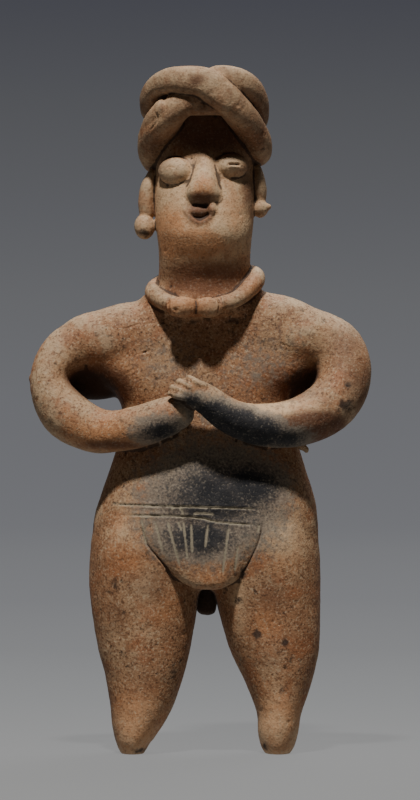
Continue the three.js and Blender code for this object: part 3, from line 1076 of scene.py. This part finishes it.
def weather(piece):
    """Marks hollows for painted shade, ridges, dusty upper sides, smoke and other stains with painted
    shade among them, and chalky scratches on the mesh.
    """
    co = points_of(piece)
    normals = normals_of(piece)
    edges = np.empty(len(piece.data.edges) * 2, int)
    piece.data.edges.foreach_get("vertices", edges)
    edges = edges.reshape(-1, 2)
    count = np.bincount(edges.ravel(), minlength=len(co))
    smooth = co
    for _ in range(RISE_ROUNDS):
        smooth = neighbour_mean(smooth, edges, count)
    rise = ((co - smooth) * normals).sum(1) / STANDS_OUT
    facing = normals
    for _ in range(FACING_ROUNDS):
        facing = neighbour_mean(facing, edges, count)
    # The hollow mark carries painted shade: darker where the surface lies below its surroundings.
    marks = {"hollow": -rise, "ridge": rise, "dust": facing[:, 2]}
    for name, spots in STAINS.items():
        marks[name] = np.max([how * nearness(co, at, reach) for at, reach, how in spots], 0)
    chalk = np.zeros(len(co))
    for points in [*BELT_LINES, *APRON_FOLDS, *BELT_SCRATCHES]:
        which, gap, share = along_line(co, normals, points, CHALK_REACH)
        fade = np.clip(np.minimum(share, 1 - share) / LINE_END, 0.3, 1)
        left_over = fade * np.exp(-((gap / CHALK_WIDE) ** 2))
        chalk[which] = np.maximum(chalk[which], left_over)
    marks["chalk"] = chalk
    for name, values in marks.items():
        layer = piece.data.attributes.new(name, "FLOAT", "POINT")
        layer.data.foreach_set("value", np.clip(values, 0, 1))


def set_in_place(piece):
    """Sets the finished figure back to its place, in metres."""
    co = points_of(piece)
    co[:, 1] += BODY_Y
    move_points(piece, co * MM)
    pick(piece)
    bpy.ops.object.shade_smooth()


# The clay

# A colour mix has several sockets of one name, so its own are found by their number
SHARE, UNDER, OVER, MIXED = 0, 6, 7, 2


def linear(hexes):
    """An sRGB hex colour as a linear one."""
    parts = [int(hexes[i : i + 2], 16) / 255 for i in (1, 3, 5)]
    return [
        p / 12.92 if p <= 0.04045 else ((p + 0.055) / 1.055) ** 2.4 for p in parts
    ] + [1.0]


def per(millimetres):
    """The scale at which a pattern repeats about every so many millimetres."""
    return 1 / (millimetres * MM)


def add_node(tree, kind, inputs=None, **settings):
    """A node with its settings, and for each named input a value or the socket that feeds it."""
    node = tree.nodes.new(kind)
    for name, value in settings.items():
        setattr(node, name, value)
    for name, value in (inputs or {}).items():
        if isinstance(value, bpy.types.NodeSocket):
            tree.links.new(value, node.inputs[name])
        else:
            node.inputs[name].default_value = value
    return node


# The clay's patterns: size in millimetres, detail, roughness, the stretch each way and the lean.
# The sand in such clay has grains of about 0.4 mm. Grain is drawn twice as coarse, so that it shows.
PATTERNS = {
    "bed": (30, 4, 0.55, (1, 1, 1), 0),
    "patch": (12, 5, 0.6, (1, 1, 1), 0),
    "blotch": (5, 6, 0.7, (1, 1, 1), 0),
    "mottle": (2.2, 4, 0.7, (1, 1, 1), 0),
    "wipe": (1.6, 4, 0.65, (5, 1, 1), 18),
    "speck": (2.8, 3, 0.6, (1, 1, 1), 0),
    "grain": (0.85, 2, 0.6, (1, 1, 1), 0),
}

# The clay's coats, from the body of the clay outwards: colour, pattern, the mark on the mesh that is
# added to it, the range over which the coat comes in, and how much of it there is at most. A range
# that runs downwards puts the coat on the low parts of its pattern.
COATS = [
    ("#a88663", "bed", None, 0.42, 0.62, 0.75),
    ("#7c4d31", "patch", None, 0.5, 0.66, 0.65),
    ("#a67b55", "blotch", None, 0.5, 0.66, 0.5),
    ("#6a4229", "mottle", None, 0.49, 0.63, 0.65),
    ("#b99b78", "wipe", None, 0.55, 0.68, 0.35),
    ("#33241a", "speck", None, 0.6, 0.7, 0.8),
    ("#b79d7e", "patch", "dust", 0.8, 1.5, 0.6),
    ("#3d2a1e", "grain", None, 0.53, 0.7, 0.65),
    ("#dab58b", "blotch", "pale", 0.6, 1.5, 0.85),
    ("#c2aa88", "blotch", "ridge", 0.9, 1.5, 0.45),
    ("#a8693e", "patch", None, 0.5, 0.64, 0.4),
    ("#c08050", "blotch", "rust", 0.7, 1.5, 0.7),
    ("#cfb28c", "grain", None, 0.45, 0.3, 0.5),
    # Dark brown: clay coloured by the fire or the ground, and painted shade where the brown mark lies
    # in shade.
    ("#5a3622", "blotch", "brown_and_painted_shade", 0.65, 1.4, 0.85),
    ("#8b5f3d", "mottle", None, 0.5, 0.66, 0.42),
    ("#4d3220", "grain", None, 0.55, 0.7, 0.42),
    ("#7d7567", "mottle", "smoke", 0.6, 1.0, 0.75),
    ("#29292c", "grain", "smoke", 0.9, 1.45, 0.85),
    ("#1b1b1e", "blotch", "smoke", 1.1, 1.6, 0.85),
    ("#9c917f", "grain", None, 0.43, 0.3, 0.26),
    # Near-black: soot spots, and painted shade behind the apron and in the armpits.
    ("#2c231e", "mottle", "soot_and_painted_shade", 0.75, 1.15, 0.85),
    # Painted shade in the hollows.
    ("#38271c", "blotch", "hollow", 0.85, 1.35, 0.85),
    ("#998c74", "speck", "chalk", 0.8, 1.4, 0.85),
]

# The clay under all coats, its roughness where it is rubbed and where it is matt, and how high its
# grains stand
BARE_CLAY = "#976b49"
RUBBED = 0.62
MATT = 0.86
GRAIN_HIGH = 0.25


def clay_patterns(tree):
    """Each pattern of the clay, which runs through the whole figure, by its name."""
    place = add_node(tree, "ShaderNodeTexCoord").outputs["Object"]
    patterns = {}
    for number, (name, (size, detail, rough, stretch, lean)) in enumerate(PATTERNS.items()):
        moved = add_node(
            tree,
            "ShaderNodeMapping",
            {
                "Vector": place,
                "Location": (number, 2 * number, 0),
                "Rotation": (0, math.radians(lean), 0),
                "Scale": stretch,
            },
            vector_type="TEXTURE",
        )
        noise = add_node(
            tree,
            "ShaderNodeTexNoise",
            {
                "Vector": moved.outputs["Vector"],
                "Scale": per(size),
                "Detail": detail,
                "Roughness": rough,
            },
        )
        patterns[name] = noise.outputs["Fac"]
    return patterns


def clay_colour(tree, patterns):
    """The colour of the clay with all its coats, each over the ones before it."""
    colour = linear(BARE_CLAY)
    for over, pattern, mark, low, high, most in COATS:
        value = patterns[pattern]
        if mark:
            marked = add_node(tree, "ShaderNodeAttribute", attribute_name=mark)
            value = add_node(
                tree, "ShaderNodeMath", {0: value, 1: marked.outputs["Fac"]}, operation="ADD"
            ).outputs["Value"]
        share = add_node(
            tree,
            "ShaderNodeMapRange",
            {"Value": value, "From Min": low, "From Max": high, "To Max": most},
            interpolation_type="SMOOTHSTEP",
        )
        mixed = add_node(
            tree,
            "ShaderNodeMix",
            {SHARE: share.outputs["Result"], UNDER: colour, OVER: linear(over)},
            data_type="RGBA",
        )
        colour = mixed.outputs[MIXED]
    return colour


def fired_clay():
    """Unglazed low-fired clay, lightly burnished: a matt orange tan, browner and redder in patches,
    blackened in clouds by the smoke of the fire, with dark grit, rubbed pale ridges, painted shade in
    the hollows and the armpits, on the forehead and the neck, under the nose and on the forearms'
    lower sides, and pale dust on the upper sides."""
    material = bpy.data.materials.new("fired_clay")
    material.use_nodes = True
    tree = material.node_tree
    tree.nodes.clear()
    patterns = clay_patterns(tree)
    rub = add_node(
        tree,
        "ShaderNodeMapRange",
        {
            "Value": patterns["blotch"],
            "From Min": 0.3,
            "From Max": 0.7,
            "To Min": RUBBED,
            "To Max": MATT,
        },
    )
    relief = add_node(
        tree,
        "ShaderNodeBump",
        {"Height": patterns["grain"], "Strength": 0.8, "Distance": GRAIN_HIGH * MM},
    )
    shader = add_node(
        tree,
        "ShaderNodeBsdfPrincipled",
        {
            "Base Color": clay_colour(tree, patterns),
            "Roughness": rub.outputs["Result"],
            "Normal": relief.outputs["Normal"],
            "IOR": 1.5,
            "Specular IOR Level": 0.35,
        },
    )
    add_node(tree, "ShaderNodeOutputMaterial", {"Surface": shader.outputs["BSDF"]})
    return material


# The floor, the lights and the camera, in metres

# The sheet's side, where it stops being flat behind the figure, the radius of its sweep up from
# there, the steps of the sweep and how far the sheet goes on upwards
SHEET_SIDE = 8.0
SWEEP_START = 2.4
SWEEP_RADIUS = 1.3
SWEEP_STEPS = 16
SHEET_RISE = 2.0

# The camera's place and its lens, in millimetres for a sensor of this width
CAMERA_AT = (0.00384, -1.5, 0.129)
LENS = 184.6
SENSOR = 36

# The faint light of the room
ROOM_COLOUR = "#c9bfb8"
ROOM_STRENGTH = 0.02

# The paper's own grey, so dark that the lamps hardly light it
PAPER_GREY = "#161616"

# The paper's painted glow, which stands in for the light on it: how far back and up along the paper,
# and its colour there
PAPER_GLOW = [
    (-0.5, "#161616"),
    (-0.2, "#8f8f8e"),
    (0.0, "#8f8f8f"),
    (0.27, "#848586"),
    (0.62, "#797a7c"),
    (1.15, "#727376"),
    (2.0, "#707174"),
    (2.7, "#6c6d71"),
    (3.1, "#696a6e"),
    (3.4, "#636467"),
    (3.65, "#5a5b5f"),
    (3.9, "#515256"),
    (4.2, "#40414a"),
]


def background_paper():
    """Matt background paper that glows with a painted light of its own, so that the figure casts hardly
    any shadow on it: a plain grey that is darker where it rises behind the figure."""
    paper = bpy.data.materials.new("background_paper")
    paper.use_nodes = True
    tree = paper.node_tree
    tree.nodes.clear()
    place = add_node(tree, "ShaderNodeTexCoord").outputs["Object"]
    spot = add_node(tree, "ShaderNodeSeparateXYZ", {"Vector": place})
    along = add_node(
        tree, "ShaderNodeMath", {0: spot.outputs["Y"], 1: spot.outputs["Z"]}, operation="ADD"
    )
    start, end = PAPER_GLOW[0][0], PAPER_GLOW[-1][0]
    share = add_node(
        tree,
        "ShaderNodeMapRange",
        {"Value": along.outputs["Value"], "From Min": start, "From Max": end},
    )
    glow = add_node(tree, "ShaderNodeValToRGB", {"Fac": share.outputs["Result"]})
    stops = glow.color_ramp.elements
    for far, _ in PAPER_GLOW[1:-1]:
        stops.new((far - start) / (end - start))
    for stop, (_, hexes) in zip(stops, PAPER_GLOW):
        stop.color = linear(hexes)
    shader = add_node(
        tree,
        "ShaderNodeBsdfPrincipled",
        {
            "Base Color": linear(PAPER_GREY),
            "Roughness": 0.95,
            # Painted glow: the paper's emission stands in for the light on it.
            "Emission Color": glow.outputs["Color"],
            "Emission Strength": 1.0,
        },
    )
    add_node(tree, "ShaderNodeOutputMaterial", {"Surface": shader.outputs["BSDF"]})
    return paper


def floor():
    """The sheet of paper: flat under the figure, and swept up behind it."""
    bpy.ops.object.select_all(action="DESELECT")
    bpy.ops.mesh.primitive_plane_add(size=SHEET_SIDE, location=(0, 0, 0))
    sheet = bpy.context.object
    sheet.name = "floor"
    for edge in sheet.data.edges:
        edge.select = all(sheet.data.vertices[v].co.y > 0 for v in edge.vertices)
    for corner in sheet.data.vertices:
        corner.select = corner.co.y > 0
    for side in sheet.data.polygons:
        side.select = False
    bpy.ops.object.mode_set(mode="EDIT")
    bpy.ops.transform.translate(value=(0, SWEEP_START - SHEET_SIDE / 2, 0))
    for step in range(SWEEP_STEPS):
        last, turn = (math.radians(90) * s / SWEEP_STEPS for s in (step, step + 1))
        along = SWEEP_RADIUS * (math.sin(turn) - math.sin(last))
        rise = SWEEP_RADIUS * (math.cos(last) - math.cos(turn))
        bpy.ops.mesh.extrude_region_move(
            TRANSFORM_OT_translate={"value": (0, along, rise)}
        )
    bpy.ops.mesh.extrude_region_move(TRANSFORM_OT_translate={"value": (0, 0, SHEET_RISE)})
    bpy.ops.object.mode_set(mode="OBJECT")
    bpy.ops.object.shade_smooth()
    sheet.data.materials.append(background_paper())
    return sheet


def softbox(name, azimuth, elevation, distance, size, power):
    """A round softbox that shines on the figure from an angle, left of the camera below zero."""
    target = Vector((0, 0, HEIGHT / 2 * MM))
    turn, rise = math.radians(azimuth), math.radians(elevation)
    way = Vector(
        (math.sin(turn) * math.cos(rise), -math.cos(turn) * math.cos(rise), math.sin(rise))
    )
    bpy.ops.object.light_add(type="AREA", location=target + way * distance)
    light = bpy.context.object
    light.name = name
    light.data.shape = "DISK"
    light.data.size = size
    light.data.energy = power
    light.rotation_euler = (-way).to_track_quat("-Z", "Y").to_euler()


def studio():
    """The paper, one strong softbox high in front, a weak wide one behind, and the camera."""
    floor()
    softbox("key", azimuth=-10, elevation=64.5, distance=2.5, size=0.2, power=84)
    softbox("back", azimuth=155, elevation=55, distance=2.6, size=1.4, power=30)
    world = bpy.data.worlds.new("studio")
    world.use_nodes = True
    room = world.node_tree.nodes["Background"]
    room.inputs["Color"].default_value = linear(ROOM_COLOUR)
    room.inputs["Strength"].default_value = ROOM_STRENGTH
    bpy.context.scene.world = world
    bpy.ops.object.camera_add(location=CAMERA_AT, rotation=(math.pi / 2, 0, 0))
    camera = bpy.context.object
    camera.data.lens = LENS
    camera.data.sensor_width = SENSOR
    camera.data.clip_end = 20
    bpy.context.scene.camera = camera


piece = figure()
weather(piece)
set_in_place(piece)
piece.data.materials.clear()
piece.data.materials.append(fired_clay())
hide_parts("figure")
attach(piece, "root")
studio()
